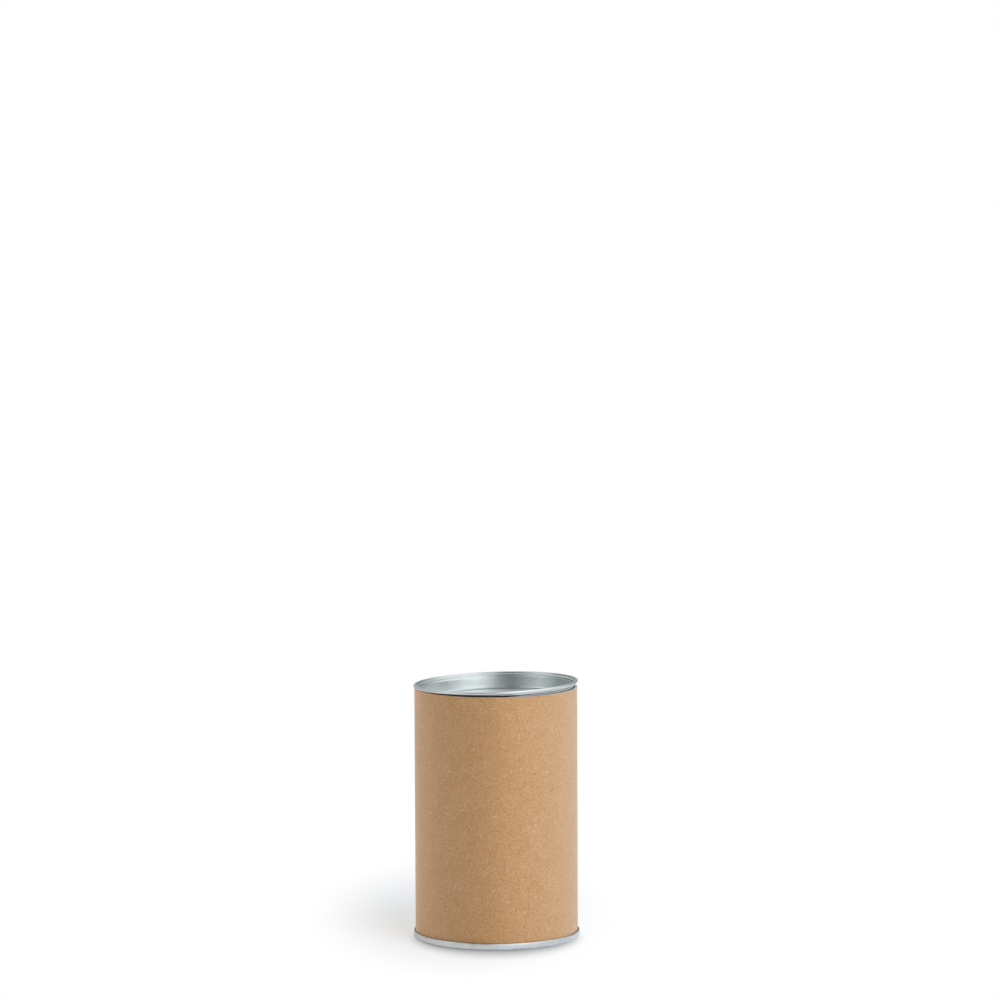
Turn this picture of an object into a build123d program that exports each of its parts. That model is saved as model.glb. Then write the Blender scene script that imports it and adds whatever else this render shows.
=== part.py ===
# Paper can with a seamed tinplate bottom and a tinplate plug lid, in millimetres, +Z up.
# The origin is the middle of the ring that the can stands on.
# The tube is wound from two board plies, with a liner inside and a kraft wrap outside.
# The lid lies in the tube askew, down on its edge at -X and raised at +X.
import os
from math import acos, cos, radians, sin

from build123d import *

os.makedirs("parts", exist_ok=True)

# Tube
bore_diameter = 73.0
edge_height = 115.9
liner_thickness = 0.08
ply_thickness = 0.37
wrap_thickness = 0.12
glue_film = 0.02
wrap_lap_width = 10.0
liner_lap_width = 6.0
lap_end_gap = 0.1
ply_joint_gap = 0.4
inner_joint_angle = 205
outer_joint_angle = 65

# Tinplate sheet, and the step stamped round the middle of both discs
tin_thickness = 0.25
panel_margin = 6.4
panel_step = 0.4
panel_step_width = 0.8
panel_step_radius = 0.6

# Bottom end and its seam
bottom_recess = 3.2
bottom_corner_radius = 0.6
foot_bend_radius = 0.75
tube_end_gap = 0.1
seam_fit = 0.02
seam_height = 3.1
hem_gap = 0.25
hem_leg_height = 1.4

# Plug lid
pan_depth = 7.7
pan_corner_radius = 0.9
wall_taper = 0.3
shoulder_drop = 1.3
shoulder_height = 0.35
shoulder_step = 0.35
shoulder_radius = 0.45
plug_clearance = 0.25
flare_drop = 0.6
flare_top_drop = 0.17
flare_radius = 0.34
flare_top_radius = 0.3
curl_radius = 0.62
curl_overhang = 0.42
curl_turn = 300

# Seat of the lid in the tube
side_cant = 1.6
back_cant = -0.3
side_offset = 0.05
seat_gap = 0.05

# Radii of the tube's layers, from the bore outwards
bore_radius = bore_diameter / 2
liner_radius = bore_radius + liner_thickness
inner_ply_radius = liner_radius + glue_film
outer_ply_radius = inner_ply_radius + ply_thickness + glue_film
wrap_inner_radius = outer_ply_radius + ply_thickness + glue_film
wrap_radius = wrap_inner_radius + wrap_thickness

# Bottom seam, worked out from the tube that it grips
chuck_radius = bore_radius - seam_fit - tin_thickness
hem_radius = tin_thickness + hem_gap / 2
hem_leg_radius = wrap_radius + seam_fit
seam_radius = hem_leg_radius + 2 * hem_radius
hem_middle_radius = seam_radius - hem_radius
hem_middle_height = seam_height - hem_radius
tube_end_height = foot_bend_radius + tube_end_gap
compound_inner_radius = bore_radius
compound_outer_radius = seam_radius - tin_thickness - seam_fit
compound_height = tin_thickness + seam_fit
compound_bevel = foot_bend_radius - compound_height
compound_top = tube_end_height - glue_film
tube_length = edge_height - tube_end_height
bottom_panel_radius = chuck_radius - panel_margin
bottom_panel_height = bottom_recess + panel_step
liner_lap_height = bottom_panel_height + tin_thickness + lap_end_gap
wrap_lap_height = seam_height + lap_end_gap

# Inner face of the lid, its heights counted from the middle of the curl
curl_middle_radius = wrap_radius + curl_overhang - curl_radius
curl_inner_radius = curl_middle_radius - curl_radius
neck_radius = bore_radius - plug_clearance - tin_thickness
wall_radius = neck_radius - shoulder_step
pan_radius = wall_radius - wall_taper
pan_floor = curl_radius - pan_depth
pan_panel_radius = pan_radius - panel_margin
shoulder_foot_drop = shoulder_drop + shoulder_height

# The lid's own plane, at the middle of its curl, set so that its lowest point just clears the edge
lid_lean = acos(cos(radians(side_cant)) * cos(radians(back_cant)))
curl_height = edge_height + seat_gap + curl_radius + curl_middle_radius * sin(lid_lean)
lid_middle = Plane.XY.offset(curl_height).shift_origin((-side_offset, 0, curl_height))
lid_plane = lid_middle.rotated((back_cant, -side_cant, 0))
lid_section = Plane(origin=lid_plane.origin, x_dir=lid_plane.x_dir, z_dir=-lid_plane.y_dir)
lid_axis = Axis(lid_plane.origin, lid_plane.z_dir)

# Kraft wrap, with its lap glued down along the back
with BuildPart() as kraft_wrap:
    with BuildSketch(Plane.XY.offset(tube_end_height)):
        Circle(wrap_radius)
        Circle(wrap_inner_radius, mode=Mode.SUBTRACT)
    extrude(amount=tube_length)
    with BuildSketch(Plane.XY.offset(wrap_lap_height)):
        Circle(wrap_radius + wrap_thickness)
        Circle(wrap_radius, mode=Mode.SUBTRACT)
        Rectangle(wrap_lap_width, seam_radius, align=(Align.CENTER, Align.MIN), mode=Mode.INTERSECT)
    extrude(amount=edge_height - wrap_lap_height)
kraft_wrap.part.label = "kraft_wrap"
export_step(kraft_wrap.part, "parts/kraft_wrap.step")

# Board plies, each wound once, with its open butt joint away from the other's
board_plies = {
    "outer_board_ply": (outer_ply_radius, outer_joint_angle),
    "inner_board_ply": (inner_ply_radius, inner_joint_angle),
}
for ply_name, (inside_radius, joint_angle) in board_plies.items():
    joint_plane = Plane.XY.offset(tube_end_height).rotated((0, 0, joint_angle))
    with BuildPart() as board_ply:
        with BuildSketch(joint_plane):
            Circle(inside_radius + ply_thickness)
            Circle(inside_radius, mode=Mode.SUBTRACT)
            with Locations((inside_radius, 0)):
                Rectangle(3 * ply_thickness, ply_joint_gap, mode=Mode.SUBTRACT)
        extrude(amount=tube_length)
    board_ply.part.label = ply_name
    export_step(board_ply.part, f"parts/{ply_name}.step")

# Inner liner, lapped inwards along the front
with BuildPart() as inner_liner:
    with BuildSketch(Plane.XY.offset(tube_end_height)):
        Circle(liner_radius)
        Circle(bore_radius, mode=Mode.SUBTRACT)
    extrude(amount=tube_length)
    with BuildSketch(Plane.XY.offset(liner_lap_height)):
        Circle(bore_radius)
        Circle(bore_radius - liner_thickness, mode=Mode.SUBTRACT)
        Rectangle(liner_lap_width, bore_radius, align=(Align.CENTER, Align.MAX), mode=Mode.INTERSECT)
    extrude(amount=edge_height - liner_lap_height)
inner_liner.part.label = "inner_liner"
export_step(inner_liner.part, "parts/inner_liner.step")

# Tinplate bottom, its section drawn along the outside of the sheet from the middle of the panel:
# the recessed panel, down inside the tube, round the foot, up outside and folded in on the paper
with BuildPart() as bottom_end:
    with BuildSketch(Plane.XZ):
        with BuildLine():
            FilletPolyline(
                (0, bottom_panel_height),
                (bottom_panel_radius, bottom_panel_height),
                (bottom_panel_radius + panel_step_width, bottom_recess),
                (chuck_radius, bottom_recess),
                (chuck_radius, 0),
                (seam_radius, 0),
                (seam_radius, hem_middle_height),
                radius=[panel_step_radius, panel_step_radius, bottom_corner_radius]
                + [foot_bend_radius, foot_bend_radius],
            )
            CenterArc((hem_middle_radius, hem_middle_height), hem_radius, 0, 180)
            Line((hem_leg_radius, hem_middle_height), (hem_leg_radius, hem_leg_height))
            offset(amount=tin_thickness, side=Side.LEFT)
        make_face()
    revolve(axis=Axis.Z)
bottom_end.part.label = "bottom_end"
export_step(bottom_end.part, "parts/bottom_end.step")

# Sealing compound that fills the seam's channel under the end of the tube
with BuildPart() as sealing_compound:
    with BuildSketch(Plane.XZ):
        with BuildLine():
            Polyline(
                (compound_inner_radius, compound_top),
                (compound_inner_radius, compound_height + compound_bevel),
                (compound_inner_radius + compound_bevel, compound_height),
                (compound_outer_radius - compound_bevel, compound_height),
                (compound_outer_radius, compound_height + compound_bevel),
                (compound_outer_radius, compound_top),
                close=True,
            )
        make_face()
    revolve(axis=Axis.Z)
sealing_compound.part.label = "sealing_compound"
export_step(sealing_compound.part, "parts/sealing_compound.step")

# Plug lid, its section drawn along the inside of the sheet from the middle of the pan:
# the floor, up the tapered wall and over its shoulder, out over the tube's edge and round the curl
with BuildPart() as plug_lid:
    with BuildSketch(lid_section):
        with BuildLine():
            FilletPolyline(
                (0, pan_floor + panel_step),
                (pan_panel_radius, pan_floor + panel_step),
                (pan_panel_radius + panel_step_width, pan_floor),
                (pan_radius, pan_floor),
                (wall_radius, -shoulder_foot_drop),
                (neck_radius, -shoulder_drop),
                (neck_radius, -flare_drop),
                (curl_inner_radius, -flare_top_drop),
                (curl_inner_radius, 0),
                radius=[panel_step_radius, panel_step_radius, pan_corner_radius]
                + [shoulder_radius, shoulder_radius]
                + [flare_radius, flare_top_radius],
            )
            offset(amount=tin_thickness, side=Side.RIGHT)
        make_face()
        with BuildLine():
            outside = CenterArc((curl_middle_radius, 0), curl_radius, 180, -curl_turn)
            inside = CenterArc((curl_middle_radius, 0), curl_radius - tin_thickness, 180, -curl_turn)
            Line(outside @ 0, inside @ 0)
            Line(outside @ 1, inside @ 1)
        make_face()
    revolve(axis=lid_axis)
plug_lid.part.label = "plug_lid"
export_step(plug_lid.part, "parts/plug_lid.step")
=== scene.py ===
# Paper can for a gift: a kraft tube, a seamed tinplate bottom and a tinplate plug lid lying askew.
from math import acos, atan2, ceil, cos, pi, radians, sin, tan

import bpy
from mathutils import Matrix, Vector


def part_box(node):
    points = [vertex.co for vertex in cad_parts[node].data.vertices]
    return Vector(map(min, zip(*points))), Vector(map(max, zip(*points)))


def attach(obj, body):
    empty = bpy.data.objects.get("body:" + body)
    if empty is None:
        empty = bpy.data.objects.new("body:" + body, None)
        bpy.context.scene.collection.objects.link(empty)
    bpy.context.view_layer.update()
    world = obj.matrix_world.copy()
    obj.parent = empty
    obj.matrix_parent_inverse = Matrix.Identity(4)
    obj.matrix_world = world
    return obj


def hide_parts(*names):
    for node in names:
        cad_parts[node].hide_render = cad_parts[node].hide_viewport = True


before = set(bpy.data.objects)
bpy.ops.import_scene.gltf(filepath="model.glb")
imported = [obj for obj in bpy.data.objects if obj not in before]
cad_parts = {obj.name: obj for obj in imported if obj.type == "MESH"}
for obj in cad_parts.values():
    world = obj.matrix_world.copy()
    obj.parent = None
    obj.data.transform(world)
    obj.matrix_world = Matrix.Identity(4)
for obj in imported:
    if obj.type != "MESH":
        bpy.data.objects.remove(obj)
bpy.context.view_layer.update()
print("frame loaded")

mm = 0.001
weldDistance = 0.001 * mm
tubeLow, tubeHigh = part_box("kraft_wrap")
tubeFoot, tubeEdge = tubeLow.z, tubeHigh.z   # cut ends of the tube
wrapRadius = tubeHigh.x                      # outer face of the kraft
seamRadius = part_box("bottom_end")[1].x       # outer face of the seam
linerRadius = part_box("inner_liner")[1].x     # back of the liner


# Modelling: a section is drawn in the XZ plane with a pen, then spun about Z

pen = {"at": Vector()}


def startSection(name, x, z):
    # a small plane merged to the one vertex that the section starts from
    bpy.ops.object.select_all(action="DESELECT")
    bpy.ops.mesh.primitive_plane_add(size=mm, location=(x, 0, z))
    piece = bpy.context.active_object
    piece.name = piece.data.name = name
    bpy.ops.object.transform_apply(location=True, rotation=True, scale=True)
    bpy.ops.object.mode_set(mode="EDIT")
    bpy.ops.mesh.select_mode(type="VERT")
    bpy.ops.mesh.select_all(action="SELECT")
    bpy.ops.mesh.merge(type="CENTER")
    pen["at"] = Vector((x, 0, z))
    return piece


def drawTo(x, z, longest):
    # a straight run, cut into steps that are no longer than longest
    run = Vector((x, 0, z)) - pen["at"]
    steps = max(1, ceil(run.length / longest))
    for _ in range(steps):
        bpy.ops.mesh.extrude_vertices_move(TRANSFORM_OT_translate={"value": run / steps})
    pen["at"] = Vector((x, 0, z))


def turnAbout(x, z, turn, steps):
    # an arc about a middle, positive to the left of the way that the pen goes
    middle = Vector((x, 0, z))
    bpy.ops.mesh.spin(steps=steps, angle=turn, center=middle, axis=(0, 1, 0))
    pen["at"] = middle + Matrix.Rotation(-turn, 3, "Y") @ (pen["at"] - middle)


def drawRounded(corners, end, longest, steps):
    # straight runs joined by arcs, each corner written (x, z, radius)
    for (x, z, radius), after in zip(corners, corners[1:] + [end]):
        corner = Vector((x, 0, z))
        arriving = (corner - pen["at"]).normalized()
        leaving = (Vector((after[0], 0, after[1])) - corner).normalized()
        turn = arriving.angle(leaving)
        side = -1 if arriving.cross(leaving).y > 0 else 1
        bend = corner - arriving * radius * tan(turn / 2)
        drawTo(bend.x, bend.z, longest)
        middle = bend + Matrix.Rotation(-side * pi / 2, 3, "Y") @ arriving * radius
        turnAbout(middle.x, middle.z, side * turn, steps)
    drawTo(end[0], end[1], longest)


def spinRound(steps):
    bpy.ops.mesh.select_all(action="SELECT")
    bpy.ops.mesh.spin(steps=steps, angle=2 * pi, center=(0, 0, 0), axis=(0, 0, 1))
    bpy.ops.mesh.select_all(action="SELECT")
    bpy.ops.mesh.remove_doubles(threshold=weldDistance)
    bpy.ops.mesh.normals_make_consistent(inside=False)
    bpy.ops.object.mode_set(mode="OBJECT")


def applyModifier(piece, kind, **values):
    bpy.ops.object.modifier_add(type=kind)
    modifier = piece.modifiers[-1]
    for name, value in values.items():
        setattr(modifier, name, value)
    bpy.ops.object.modifier_apply(modifier=modifier.name)


def roughen(piece, name, size, amount):
    # slow unevenness of a real sheet, no more than half the amount either way
    unevenness = bpy.data.textures.new(name, "CLOUDS")
    unevenness.noise_scale = size
    applyModifier(
        piece, "DISPLACE", texture=unevenness, strength=amount, mid_level=0.5,
        direction="NORMAL", texture_coords="LOCAL",
    )


def giveThickness(piece, thickness):
    applyModifier(piece, "SOLIDIFY", thickness=thickness, offset=-1, use_even_offset=True)


def pickFaces(piece, wanted):
    bpy.ops.mesh.select_mode(type="FACE")
    bpy.ops.mesh.select_all(action="DESELECT")
    bpy.ops.object.mode_set(mode="OBJECT")
    for face in piece.data.polygons:
        face.select = wanted(face.center)
    bpy.ops.object.mode_set(mode="EDIT")


def pickEdges(piece, wanted):
    bpy.ops.mesh.select_mode(type="EDGE")
    bpy.ops.mesh.select_all(action="DESELECT")
    bpy.ops.object.mode_set(mode="OBJECT")
    for edge in piece.data.edges:
        start, end = (piece.data.vertices[corner].co for corner in edge.vertices)
        edge.select = wanted(start, end)
    bpy.ops.object.mode_set(mode="EDIT")


# Rolled paper: a sheet round the tube, with its end lapped over and glued down

def rollSheet(name, radius, values):
    bpy.ops.object.select_all(action="DESELECT")
    length = tubeEdge - tubeFoot
    bpy.ops.mesh.primitive_cylinder_add(
        vertices=values["sides"], radius=radius, depth=length, end_fill_type="NOTHING",
        location=(0, 0, tubeFoot + length / 2),
    )
    piece = bpy.context.active_object
    piece.name = piece.data.name = name
    bpy.ops.object.transform_apply(location=True, rotation=True, scale=True)
    bpy.ops.object.mode_set(mode="EDIT")
    pickEdges(piece, lambda start, end: abs(start.z - end.z) > length / 2)
    bpy.ops.mesh.subdivide(number_cuts=values["rings"])
    bpy.ops.mesh.select_all(action="SELECT")
    bpy.ops.mesh.bisect(plane_co=(0, 0, values["lapFoot"]), plane_no=(0, 0, 1))
    halfLap = values["lapWidth"] / radius / 2
    pickFaces(
        piece,
        lambda middle: middle.z > values["lapFoot"]
        and abs(atan2(middle.x, middle.y * values["lapSide"])) < halfLap,
    )
    bpy.ops.mesh.duplicate()
    bpy.ops.transform.shrink_fatten(value=values["lapRise"])
    bpy.ops.object.mode_set(mode="OBJECT")
    roughen(piece, name + "Waves", values["waveSize"], values["waveDepth"])
    giveThickness(piece, values["thickness"])
    bpy.ops.object.shade_smooth_by_angle(angle=values["smoothAngle"])
    return piece


# Kraft wrap outside the tube

kraftSheet = {
    "thickness": 0.12 * mm,
    "sides": 240,
    "rings": 47,
    "lapSide": 1,             # the lap runs down the back
    "lapWidth": 10 * mm,
    "lapFoot": 3.2 * mm,
    "lapRise": 0.122 * mm,    # the sheet and a film of glue
    "waveSize": 14 * mm,
    "waveDepth": 0.03 * mm,
    "smoothAngle": radians(30),
}
kraftWrap = rollSheet("kraftWrap", wrapRadius, kraftSheet)
print("kraft wrap rolled")


# Pale liner inside the tube

linerSheet = {
    "thickness": 0.08 * mm,
    "sides": 240,
    "rings": 47,
    "lapSide": -1,            # the lap runs down the front
    "lapWidth": 6 * mm,
    "lapFoot": 3.95 * mm,
    "lapRise": -0.082 * mm,   # inwards
    "waveSize": 11 * mm,
    "waveDepth": 0.015 * mm,
    "smoothAngle": radians(30),
}
innerLiner = rollSheet("innerLiner", linerRadius, linerSheet)
print("inner liner rolled")


# Tinplate bottom: recessed panel, foot and the seam that grips the tube

bottomPlate = {
    "sheet": 0.25 * mm,
    "panelRadius": 29.83 * mm,
    "panelHeight": 3.6 * mm,
    "stepWidth": 0.8 * mm,
    "stepRadius": 0.6 * mm,
    "recess": 3.2 * mm,         # height of the ring round the panel
    "chuckRadius": 36.23 * mm,
    "footRadius": 0.75 * mm,
    "hemMiddle": 2.725 * mm,    # height at which the sheet turns in and down again
    "hemRadius": 0.375 * mm,
    "hemFoot": 1.4 * mm,        # height at which it ends
    "longestRun": 2.5 * mm,
    "bendSteps": 6,
    "hemSteps": 12,
    "sides": 192,
    "smoothAngle": radians(40),
}


def makeBottom():
    v = bottomPlate
    piece = startSection("bottomEnd", 0, v["panelHeight"])
    corners = [
        (v["panelRadius"], v["panelHeight"], v["stepRadius"]),
        (v["panelRadius"] + v["stepWidth"], v["recess"], v["stepRadius"]),
        (v["chuckRadius"], v["recess"], v["stepRadius"]),
        (v["chuckRadius"], 0, v["footRadius"]),
        (seamRadius, 0, v["footRadius"]),
    ]
    drawRounded(corners, (seamRadius, v["hemMiddle"]), v["longestRun"], v["bendSteps"])
    turnAbout(seamRadius - v["hemRadius"], v["hemMiddle"], pi, v["hemSteps"])
    drawTo(seamRadius - 2 * v["hemRadius"], v["hemFoot"], v["longestRun"])
    spinRound(v["sides"])
    giveThickness(piece, v["sheet"])
    bpy.ops.object.shade_smooth_by_angle(angle=v["smoothAngle"])
    return piece


bottomEnd = makeBottom()
print("bottom seamed on")


# Tinplate plug lid: pan, shoulder, neck and round curl, heights counted from the curl's middle

plugLid = {
    "sheet": 0.25 * mm,
    "panelRadius": 28.95 * mm,
    "panelRise": 0.4 * mm,
    "stepWidth": 0.8 * mm,
    "stepRadius": 0.6 * mm,
    "floor": -7.08 * mm,
    "panRadius": 35.35 * mm,
    "panCorner": 0.9 * mm,
    "wallRadius": 35.65 * mm,
    "neckRadius": 36.0 * mm,
    "shoulderDrop": 1.3 * mm,
    "shoulderFoot": 1.65 * mm,
    "shoulderRadius": 0.45 * mm,
    "flareDrop": 0.6 * mm,
    "flareTopDrop": 0.17 * mm,
    "flareRadius": 0.34 * mm,
    "flareTopRadius": 0.3 * mm,
    "curlMiddle": 37.3 * mm,
    "curlRadius": 0.62 * mm,
    "curlTurn": radians(300),
    "longestRun": 1.5 * mm,
    "bendSteps": 6,
    "curlSteps": 40,
    "sides": 192,
    "smoothAngle": radians(40),
    "sideCant": radians(1.6),
    "backCant": radians(-0.3),
    "sideOffset": 0.05 * mm,
    "seatGap": 0.05 * mm,
}


def makeLid():
    v = plugLid
    curlInner = v["curlMiddle"] - v["curlRadius"]
    piece = startSection("plugLid", 0, v["floor"] + v["panelRise"])
    corners = [
        (v["panelRadius"], v["floor"] + v["panelRise"], v["stepRadius"]),
        (v["panelRadius"] + v["stepWidth"], v["floor"], v["stepRadius"]),
        (v["panRadius"], v["floor"], v["panCorner"]),
        (v["wallRadius"], -v["shoulderFoot"], v["shoulderRadius"]),
        (v["neckRadius"], -v["shoulderDrop"], v["shoulderRadius"]),
        (v["neckRadius"], -v["flareDrop"], v["flareRadius"]),
        (curlInner, -v["flareTopDrop"], v["flareTopRadius"]),
    ]
    drawRounded(corners, (curlInner, 0), v["longestRun"], v["bendSteps"])
    turnAbout(v["curlMiddle"], 0, -v["curlTurn"], v["curlSteps"])
    spinRound(v["sides"])
    giveThickness(piece, v["sheet"])
    bpy.ops.object.shade_smooth_by_angle(angle=v["smoothAngle"])
    lean = acos(cos(v["sideCant"]) * cos(v["backCant"]))
    seat = tubeEdge + v["seatGap"] + v["curlRadius"] + v["curlMiddle"] * sin(lean)
    piece.rotation_mode = "YXZ"
    piece.rotation_euler = (v["backCant"], -v["sideCant"], 0)
    piece.location = (-v["sideOffset"], 0, seat)
    bpy.ops.object.transform_apply(location=True, rotation=True, scale=True)
    return piece


lid = makeLid()
print("lid laid in the tube")


# Materials

black, white = (0, 0, 0, 1), (1, 1, 1, 1)


def addNode(tree, kind, inputs=(), **settings):
    node = tree.nodes.new(kind)
    for name, value in settings.items():
        setattr(node, name, value)
    for name, value in dict(inputs).items():
        if isinstance(value, bpy.types.NodeSocket):
            tree.links.new(value, node.inputs[name])
        else:
            node.inputs[name].default_value = value
    return node


def mathOf(tree, operation, first, second=0.0):
    return addNode(tree, "ShaderNodeMath", {0: first, 1: second}, operation=operation).outputs[0]


def times(tree, first, second):
    return mathOf(tree, "MULTIPLY", first, second)


def vectorOf(tree, operation, first, second=(0, 0, 0)):
    values = {0: first, 1: second}
    return addNode(tree, "ShaderNodeVectorMath", values, operation=operation).outputs


def between(tree, value, low, high, toLow=0.0, toHigh=1.0):
    limits = {"Value": value, "From Min": low, "From Max": high, "To Min": toLow, "To Max": toHigh}
    return addNode(tree, "ShaderNodeMapRange", limits, interpolation_type="SMOOTHSTEP").outputs[0]


def noiseOf(tree, place, scale, detail):
    values = {"Vector": place, "Scale": scale, "Detail": detail}
    return addNode(tree, "ShaderNodeTexNoise", values).outputs


def startGroup(name, fineness, outputs):
    group = bpy.data.node_groups.new(name, "ShaderNodeTree")
    group.interface.new_socket("Place", in_out="INPUT", socket_type="NodeSocketVector")
    socket = group.interface.new_socket("Fineness", in_out="INPUT", socket_type="NodeSocketFloat")
    socket.default_value = fineness
    for label in outputs:
        group.interface.new_socket(label, in_out="OUTPUT", socket_type="NodeSocketFloat")
    given = group.nodes.new("NodeGroupInput").outputs
    return group, given, group.nodes.new("NodeGroupOutput").inputs


pulp = {
    "fineness": 800.0,
    "clouds": ((2.4, 0.50), (1.5, 0.38), (0.17, 0.12)),     # the mottle's fineness and weight
    "stir": 0.7,                 # how far the fibres are bent out of line
    "paleRise": 0.3,             # how far the pale fibres stand up
    "sideFade": (0.6, 1.3),      # a fleck fades between these shares of its half width
    "endFade": (0.8, 1.0),       # and these of its half length
    # each layer of flecks: shift, strength, (cells, half length, half width, share of cells filled)
    "flecks": {
        "Pale": [
            ((0.31, 0.17, 0.53), 0.45, (0.9, 0.50, 0.16, 0.6)),
            ((0.12, 0.64, 0.27), 1.0, (0.36, 0.85, 0.24, 0.35)),
        ],
        "Dark": [
            ((0.77, 0.41, 0.29), 0.5, (0.85, 0.50, 0.15, 0.55)),
            ((0.45, 0.23, 0.91), 1.0, (0.36, 0.75, 0.18, 0.60)),
            ((0.58, 0.86, 0.11), 1.0, (0.12, 2.20, 0.13, 0.30)),
        ],
        "Specks": [((0.21, 0.93, 0.67), 1.0, (0.30, 0.30, 0.26, 0.14))],
    },
}
middling = (0.5, 0.5, 0.5)       # the middle of a noise's colour


def flecksOf(tree, place, fine, sizes):
    # short straight fibres, one to a cell, each laid its own way, sizes in units of 1 / fine
    cells, halfLength, halfWidth, filled = sizes
    sideFade = [halfWidth * share for share in pulp["sideFade"]]
    endFade = [halfLength * share for share in pulp["endFade"]]
    grid = {"Vector": place, "Scale": times(tree, fine, cells)}
    heart = addNode(tree, "ShaderNodeTexVoronoi", grid).outputs["Position"]
    local = vectorOf(tree, "SUBTRACT", place, heart)[0]
    luck = addNode(tree, "ShaderNodeTexWhiteNoise", {"Vector": heart}).outputs
    lay = vectorOf(tree, "SUBTRACT", luck["Color"], middling)[0]
    lay = vectorOf(tree, "NORMALIZE", lay)[0]
    along = vectorOf(tree, "DOT_PRODUCT", local, lay)["Value"]
    length = vectorOf(tree, "LENGTH", local)["Value"]
    lengthSquared = mathOf(tree, "POWER", length, 2.0)
    alongSquared = mathOf(tree, "POWER", along, 2.0)
    across = mathOf(tree, "SUBTRACT", lengthSquared, alongSquared)
    across = mathOf(tree, "SQRT", mathOf(tree, "MAXIMUM", across, 0.0))
    across = times(tree, across, fine)
    along = times(tree, mathOf(tree, "ABSOLUTE", along), fine)
    inside = between(tree, across, *sideFade, 1.0, 0.0)
    fleck = times(tree, inside, between(tree, along, *endFade, 1.0, 0.0))
    return times(tree, fleck, mathOf(tree, "LESS_THAN", luck["Value"], filled))


def makeFibreGroup():
    # pulp seen close: cloudy mottle, pale and dark fibres, and a few dark specks of bark
    labels = ["Mottle", "Pale", "Dark", "Specks", "Height"]
    group, given, out = startGroup("paperFibres", pulp["fineness"], labels)
    place, fine = given["Place"], given["Fineness"]
    mottle = 0.0
    for fineness, weight in pulp["clouds"]:
        cloud = noiseOf(group, place, times(group, fine, fineness), 2)[0]
        mottle = mathOf(group, "ADD", times(group, cloud, weight), mottle)
    stir = noiseOf(group, place, fine, 1)["Color"]
    stir = vectorOf(group, "SUBTRACT", stir, middling)[0]
    stir = {0: stir, "Scale": mathOf(group, "DIVIDE", pulp["stir"], fine)}
    stir = addNode(group, "ShaderNodeVectorMath", stir, operation="SCALE").outputs[0]
    masks = {}
    for label, layers in pulp["flecks"].items():
        for shift, strength, sizes in layers:
            moved = vectorOf(group, "ADD", place, shift)[0]
            moved = vectorOf(group, "ADD", moved, stir)[0]
            flecks = times(group, flecksOf(group, moved, fine, sizes), strength)
            masks[label] = mathOf(group, "MAXIMUM", flecks, masks.get(label, 0.0))
    height = mathOf(group, "ADD", mottle, times(group, masks["Pale"], pulp["paleRise"]))
    for label, value in (("Mottle", mottle), ("Height", height), *masks.items()):
        group.links.new(value, out[label])
    return group


tinCoat = {
    "fineness": 4200.0,
    "bloomShare": 0.05,          # the blooms' fineness, as a share of the grain's
    "grainRise": 0.7,
    "bloomRise": 0.3,
}


def makeTinGroup():
    # tin on steel: a fine even grain, and faint blooms of dull and bright
    group, given, out = startGroup("tinFinish", tinCoat["fineness"], ["Grain", "Bloom", "Height"])
    place, fine = given["Place"], given["Fineness"]
    grain = noiseOf(group, place, fine, 2)[0]
    bloom = noiseOf(group, place, times(group, fine, tinCoat["bloomShare"]), 3)[0]
    grainHeight = times(group, grain, tinCoat["grainRise"])
    height = mathOf(group, "ADD", grainHeight, times(group, bloom, tinCoat["bloomRise"]))
    for label, value in (("Grain", grain), ("Bloom", bloom), ("Height", height)):
        group.links.new(value, out[label])
    return group


fibreGroup = makeFibreGroup()
tinGroup = makeTinGroup()


def startMaterial(name, values, group):
    material = bpy.data.materials.new(name)
    material.use_nodes = True
    tree = material.node_tree
    shader = tree.nodes["Principled BSDF"]
    for label, value in values["constants"].items():
        shader.inputs[label].default_value = value
    place = addNode(tree, "ShaderNodeTexCoord").outputs["Object"]
    given = {"Place": place, "Fineness": values["fineness"]}
    surface = addNode(tree, "ShaderNodeGroup", given, node_tree=group).outputs
    return material, tree, shader, place, surface


def blendColours(tree, mask, first, second):
    values = {0: mask, 6: first, 7: second}
    return addNode(tree, "ShaderNodeMix", values, data_type="RGBA").outputs[2]


def linkSurface(tree, shader, colour, roughness, height, values):
    bump = {"Height": height, "Strength": values["bump"], "Distance": values["relief"]}
    normal = addNode(tree, "ShaderNodeBump", bump).outputs[0]
    for label, value in (("Base Color", colour), ("Roughness", roughness), ("Normal", normal)):
        tree.links.new(value, shader.inputs[label])


def makePaper(name, values):
    material, tree, shader, _, fibres = startMaterial(name, values, fibreGroup)
    ground = between(tree, fibres["Mottle"], *paperTone)
    colour = blendColours(tree, ground, values["deep"], values["light"])
    for mask, tint, weight in values["marks"]:
        colour = blendColours(tree, times(tree, fibres[mask], weight), colour, tint)
    # painted sheen: the colour turns paler where the surface faces away from the view
    facing = addNode(tree, "ShaderNodeLayerWeight").outputs["Facing"]
    colour = blendColours(tree, times(tree, facing, values["paintedSheen"]), colour, paintedSheenColour)
    roughness = between(tree, fibres["Mottle"], *roughPart, *values["roughness"])
    linkSurface(tree, shader, colour, roughness, fibres["Height"], values)
    return material


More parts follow.
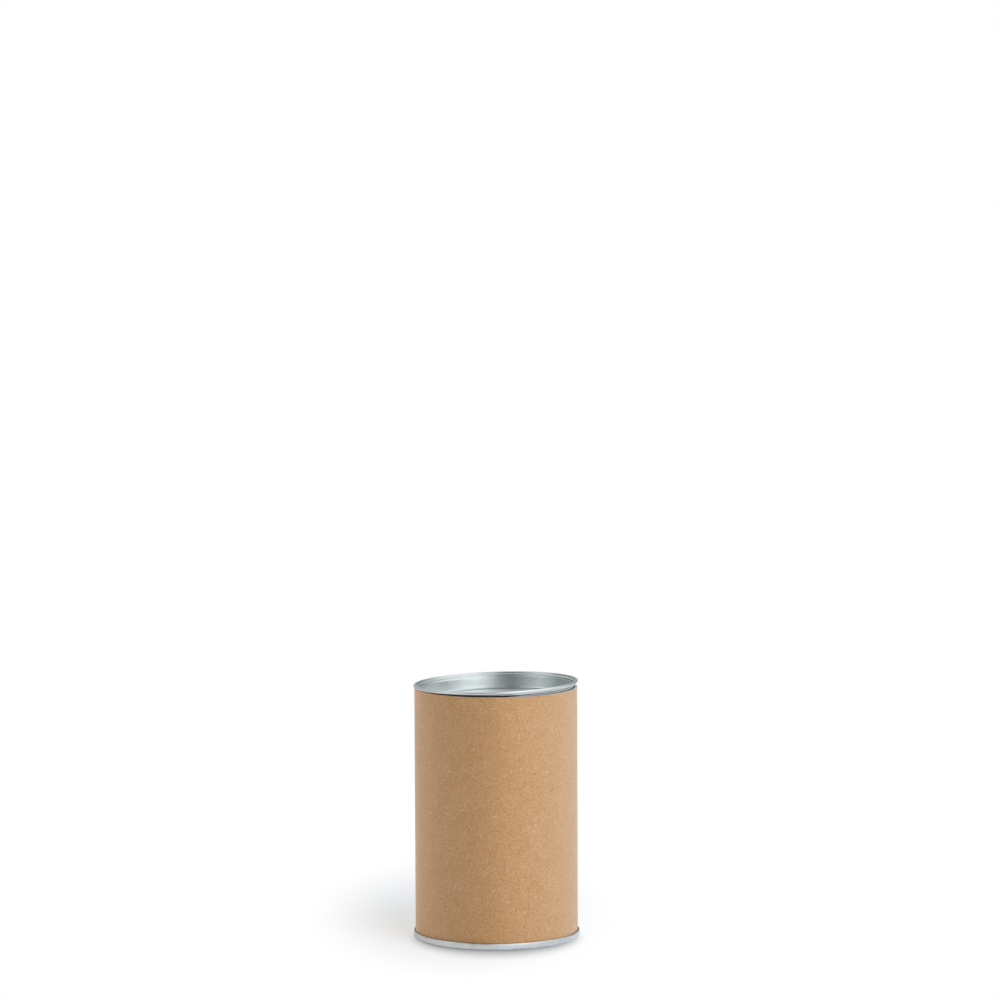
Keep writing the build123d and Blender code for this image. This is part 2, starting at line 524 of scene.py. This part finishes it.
paperTone = (0.41, 0.59)                 # mottle that gives the deep colour, and the light one
roughPart = (0.3, 0.7)                   # noise that gives the first roughness, and the second
paperRelief = 0.1 * mm
paintedSheenColour = (0.75, 0.78, 0.80, 1)       # painted sheen, paler where the paper turns away, standing in for light off raised fibre ends
kraftLook = {
    "fineness": 820.0,
    "paintedSheen": 0.13,
    "deep": (0.350, 0.165, 0.035, 1),
    "light": (0.438, 0.249, 0.101, 1),
    "marks": [
        ("Pale", (0.60, 0.40, 0.24, 1), 0.6),
        ("Dark", (0.17, 0.07, 0.015, 1), 0.8),
        ("Specks", (0.10, 0.05, 0.02, 1), 0.8),
    ],
    "roughness": (0.5, 0.6),
    "bump": 0.25,
    "relief": paperRelief,
    "constants": {"Specular IOR Level": 1.0},
}
boardLook = {
    "fineness": 1400.0,
    "paintedSheen": 0.05,
    "deep": (0.48, 0.47, 0.45, 1),
    "light": (0.64, 0.63, 0.61, 1),
    "marks": [
        ("Pale", (0.68, 0.66, 0.62, 1), 0.6),
        ("Dark", (0.16, 0.15, 0.14, 1), 0.6),
        ("Specks", (0.10, 0.10, 0.12, 1), 0.6),
    ],
    "roughness": (0.75, 0.9),
    "bump": 0.6,
    "relief": paperRelief,
    "constants": {"Specular IOR Level": 0.3},
}
linerLook = {
    "fineness": 900.0,
    "paintedSheen": 0.05,
    "deep": (0.70, 0.68, 0.64, 1),
    "light": (0.78, 0.76, 0.73, 1),
    "marks": [("Pale", (0.84, 0.83, 0.80, 1), 0.4), ("Dark", (0.55, 0.52, 0.47, 1), 0.25)],
    "roughness": (0.38, 0.5),
    "bump": 0.12,
    "relief": paperRelief,
    "constants": {"Specular IOR Level": 0.5},
}
rubberLook = {
    "fineness": 1200.0,
    "paintedSheen": 0.05,
    "deep": (0.36, 0.37, 0.37, 1),
    "light": (0.42, 0.43, 0.43, 1),
    "marks": [("Pale", (0.5, 0.5, 0.5, 1), 0.2)],
    "roughness": (0.6, 0.75),
    "bump": 0.2,
    "relief": paperRelief,
    "constants": {"Specular IOR Level": 0.4},
}

# painted shade: the tin is darkened toward black where ambient occlusion finds other surfaces close
# by
# painted crevice shade: the axis along which it changes, between which two places, and its share at
# each
bottomTinLook = {
    "fineness": tinCoat["fineness"],
    "bright": (0.655, 0.70, 0.71, 1),
    "dull": (0.59, 0.635, 0.645, 1),
    "tone": (0.38, 0.62),                # noise that gives the dull colour, and the bright one
    "roughness": (0.33, 0.39),
    "bump": 0.02,
    "relief": 0.02 * mm,
    "paintedShadeReach": 1.3 * mm,
    "paintedShadeRays": 8,
    "paintedShadeOpen": (0.55, 0.95),         # openness at which the shade is full, and at which it ends
    "paintedShadeDepth": 0.92,
    # painted shade at the seam's hem against the kraft, little at the foot
    "paintedShadeSpan": ("Z", 1 * mm, 2 * mm, 0.15, 1.0),     # at the seam's hem, hardly at its foot
    "constants": {"Metallic": 1.0},
}
lidTinLook = {
    **bottomTinLook,
    "bright": (0.68, 0.725, 0.73, 1),
    "dull": (0.61, 0.66, 0.667, 1),
    # painted shade under the curl, strong at the left, fading where the lid is raised at +X
    "paintedShadeSpan": ("X", 4 * mm, 12 * mm, 1.0, 0.2),     # under the curl, hardly where it is raised
}


def makeTin(name, values):
    material, tree, shader, place, finish = startMaterial(name, values, tinGroup)
    bothNoises = mathOf(tree, "ADD", finish["Bloom"], finish["Grain"])
    tone = between(tree, times(tree, bothNoises, 0.5), *values["tone"])     # by their mean
    colour = blendColours(tree, tone, values["dull"], values["bright"])
    # painted shade: darker toward black where ambient occlusion finds surfaces close by
    reach = {"Distance": values["paintedShadeReach"]}
    nearby = addNode(tree, "ShaderNodeAmbientOcclusion", reach, samples=values["paintedShadeRays"])
    openness = nearby.outputs["AO"]
    shade = between(tree, openness, *values["paintedShadeOpen"], values["paintedShadeDepth"], 0.0)
    # the painted shade is kept or faded by position along one axis
    axis, *limits = values["paintedShadeSpan"]
    along = addNode(tree, "ShaderNodeSeparateXYZ", {0: place}).outputs[axis]
    shade = times(tree, shade, between(tree, along, *limits))
    colour = blendColours(tree, shade, colour, black)
    roughness = between(tree, finish["Bloom"], *roughPart, *values["roughness"])
    linkSurface(tree, shader, colour, roughness, finish["Height"], values)
    return material


def dress(piece, material):
    piece.data.materials.clear()
    piece.data.materials.append(material)


kraftPaper = makePaper("kraftPaper", kraftLook)
greyBoard = makePaper("greyBoard", boardLook)
linerPaper = makePaper("linerPaper", linerLook)
sealRubber = makePaper("sealRubber", rubberLook)
bottomTin = makeTin("bottomTin", bottomTinLook)
lidTin = makeTin("lidTin", lidTinLook)
dress(kraftWrap, kraftPaper)
dress(innerLiner, linerPaper)
dress(bottomEnd, bottomTin)
dress(lid, lidTin)
for node, material in (
    ("outer_board_ply", greyBoard), ("inner_board_ply", greyBoard), ("sealing_compound", sealRubber)
):
    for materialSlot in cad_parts[node].material_slots:
        materialSlot.material = material
print("materials made")


# What each piece stands for and moves with

for piece, node, body, slotName in (
    (kraftWrap, "kraft_wrap", "can", "kraft_paper"),
    (innerLiner, "inner_liner", "can", "liner_paper"),
    (bottomEnd, "bottom_end", "can", "tinplate"),
    (lid, "plug_lid", "lid", "tinplate"),
):
    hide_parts(node)
    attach(piece, body)


# Floor, lights and camera

studio = {
    "floorSize": 12.0,
    "floorColour": (0.85, 0.85, 0.85, 1),    # as light bounces off it
    "shadeColour": (0.575, 0.607, 0.64, 1),  # as the camera sees it, cool against the warm paper
    "shadeMiddle": (-0.0166, 0.0584, 0),
    "shadeStretch": (2.29, 1, 1),            # the shade is this much longer than wide
    "shadeEnd": 0.063,                       # it runs out from this distance
    "whiteStart": 0.175,                     # to plain white at this
    "leastWhite": 0.53,                      # share of plain white inside it
    "mirrorEnd": 0.25,                       # gloss mirrors the white floor from here
    "mirrorStart": 0.6,                      # to here
    "mirrorShare": 0.7,
    "footRadius": 0.038,
    "contactReach": (0.004, 0.0287),         # painted contact shade round the foot, sideways and forwards
    "contactFade": 1.7,
    "paintedContactShade": 0.59,
    "contactFront": (-0.034, 0.010),         # full in front of the first Y, gone behind the second
    "boxDistance": 4.8,
    "boxSize": 3.6,
    # name, angle round the can from the camera to its right, height, watts, colour
    "softboxes": (
        ("keyBox", radians(33), radians(50), 154.0, (1.0, 1.0, 1.06)),
        ("lowBox", radians(30), radians(20), 62.0, (0.99, 1.0, 1.08)),
        ("sideBox", radians(84), radians(20), 124.0, (0.84, 1.0, 1.24)),
        ("leftBox", radians(-118), radians(20), 173.0, (1.13, 1.0, 0.77)),
        ("backBox", radians(180), radians(50), 50.4, (1.0, 1.0, 1.0)),
        ("backRightBox", radians(150), radians(50), 38.3, (1.0, 1.0, 1.0)),
        ("topBox", radians(0), radians(88), 21.8, (1.0, 1.0, 1.0)),
    ),
    # soft panels that only gloss mirrors: angle, height, sharpness, strength
    "panels": (
        (radians(31), radians(13.7), 9.0, 2.47),
        (radians(81), radians(48), 10.5, 5.0),
        (radians(-71), radians(27.8), 18.8, 2.5),
        (radians(191), radians(47), 5.8, 1.35),
    ),
    # the most that they add up to: the third value below the first height, the last above the next
    "brightest": (sin(radians(20)), sin(radians(33)), 2.35, 1.27),
    "cameraPlace": (0.002347, -2.178002, 0.407131),
    "cameraTurn": (radians(90 - 5.3755), 0, radians(-0.25124)),
    "cameraSensor": 36.0,
    "cameraLens": 171.713,
    "cameraEnd": 50.0,
}


def paintedContactShade(tree, place, away):
    # painted contact shade on the floor, a fixed oval rather than a cast shadow: fades from the
    # can's foot to an oval that reaches further forwards than sideways
    foot, (sideways, forwards) = studio["footRadius"], studio["contactReach"]
    oval = vectorOf(tree, "MULTIPLY", place, (1 / (foot + sideways), 1 / (foot + forwards), 0))[0]
    oval = vectorOf(tree, "LENGTH", oval)["Value"]
    atFoot = times(tree, oval, mathOf(tree, "DIVIDE", foot, away))
    toOval = mathOf(tree, "SUBTRACT", 1.0, oval)
    width = mathOf(tree, "SUBTRACT", 1.0, atFoot)
    shade = mathOf(tree, "MAXIMUM", mathOf(tree, "DIVIDE", toOval, width), 0.0)
    shade = mathOf(tree, "POWER", mathOf(tree, "MINIMUM", shade, 1.0), studio["contactFade"])
    front = addNode(tree, "ShaderNodeSeparateXYZ", {0: place}).outputs["Y"]
    front = between(tree, front, *studio["contactFront"], studio["paintedContactShade"], 0.0)
    return times(tree, shade, front)


def makeFloor():
    bpy.ops.object.select_all(action="DESELECT")
    bpy.ops.mesh.primitive_plane_add(size=studio["floorSize"], location=(0, 0, 0))
    floor = bpy.context.active_object
    floor.name = floor.data.name = "floor"
    material = bpy.data.materials.new("paleFloor")
    material.use_nodes = True
    tree = material.node_tree
    tree.nodes.clear()
    path = addNode(tree, "ShaderNodeLightPath").outputs
    seen, mirrored = path["Is Camera Ray"], path["Is Glossy Ray"]
    place = addNode(tree, "ShaderNodeTexCoord").outputs["Object"]
    away = vectorOf(tree, "LENGTH", place)["Value"]
    off = vectorOf(tree, "SUBTRACT", place, studio["shadeMiddle"])[0]
    off = vectorOf(tree, "MULTIPLY", off, studio["shadeStretch"])[0]
    off = vectorOf(tree, "LENGTH", off)["Value"]
    plain = between(tree, off, studio["shadeEnd"], studio["whiteStart"], studio["leastWhite"])
    far = between(tree, away, studio["mirrorEnd"], studio["mirrorStart"])
    far = times(tree, far, studio["mirrorShare"])
    plain = mathOf(tree, "MAXIMUM", times(tree, seen, plain), times(tree, mirrored, far))
    # the painted contact shade darkens the lit floor and the white glow alike, for the camera only
    shade = times(tree, paintedContactShade(tree, place, away), seen)
    colour = blendColours(tree, seen, studio["floorColour"], studio["shadeColour"])
    lit = {"Color": blendColours(tree, shade, colour, black)}
    lit = addNode(tree, "ShaderNodeBsdfDiffuse", lit).outputs[0]
    glow = {"Color": blendColours(tree, shade, white, black)}
    glow = addNode(tree, "ShaderNodeEmission", glow).outputs[0]
    both = addNode(tree, "ShaderNodeMixShader", {0: plain, 1: lit, 2: glow}).outputs[0]
    addNode(tree, "ShaderNodeOutputMaterial", {"Surface": both})
    dress(floor, material)


def aim(side, height):
    return Vector((sin(side) * cos(height), -cos(side) * cos(height), sin(height)))


def makeWorld():
    # white to the camera, soft panels to anything glossy, and no light of its own on the object
    world = bpy.data.worlds.new("studio")
    bpy.context.scene.world = world
    world.use_nodes = True
    tree = world.node_tree
    tree.nodes.clear()
    path = addNode(tree, "ShaderNodeLightPath").outputs
    direction = addNode(tree, "ShaderNodeTexCoord").outputs["Generated"]
    room = 0.0
    for side, height, sharpness, strength in studio["panels"]:
        facing = vectorOf(tree, "DOT_PRODUCT", direction, aim(side, height))["Value"]
        spread = times(tree, mathOf(tree, "SUBTRACT", facing, 1.0), sharpness)
        panel = times(tree, mathOf(tree, "EXPONENT", spread), strength)
        room = mathOf(tree, "ADD", panel, room)
    up = addNode(tree, "ShaderNodeSeparateXYZ", {0: direction}).outputs["Z"]
    room = mathOf(tree, "MINIMUM", room, between(tree, up, *studio["brightest"]))
    mirrored = times(tree, path["Is Glossy Ray"], room)
    seen = mathOf(tree, "MAXIMUM", path["Is Camera Ray"], mirrored)
    shown = addNode(tree, "ShaderNodeBackground", {"Strength": seen, "Color": white})
    addNode(tree, "ShaderNodeOutputWorld", {"Surface": shown.outputs[0]})


def addSoftbox(name, side, height, power, colour):
    place = aim(side, height) * studio["boxDistance"]
    bpy.ops.object.light_add(type="AREA", location=place)
    light = bpy.context.active_object
    light.name = light.data.name = name
    light.data.shape = "SQUARE"
    light.data.size = studio["boxSize"]
    light.data.energy = power
    light.data.color = colour
    light.visible_glossy = False
    light.rotation_euler = place.to_track_quat("Z", "Y").to_euler()


def makeCamera():
    bpy.ops.object.camera_add(location=studio["cameraPlace"])
    camera = bpy.context.active_object
    camera.rotation_mode = "ZXY"
    camera.rotation_euler = studio["cameraTurn"]
    camera.data.sensor_width = studio["cameraSensor"]
    camera.data.lens = studio["cameraLens"]
    camera.data.clip_end = studio["cameraEnd"]
    bpy.context.scene.camera = camera


makeFloor()
makeWorld()
for box in studio["softboxes"]:
    addSoftbox(*box)
makeCamera()
bpy.context.scene.view_settings.view_transform = "Standard"
print("studio set")
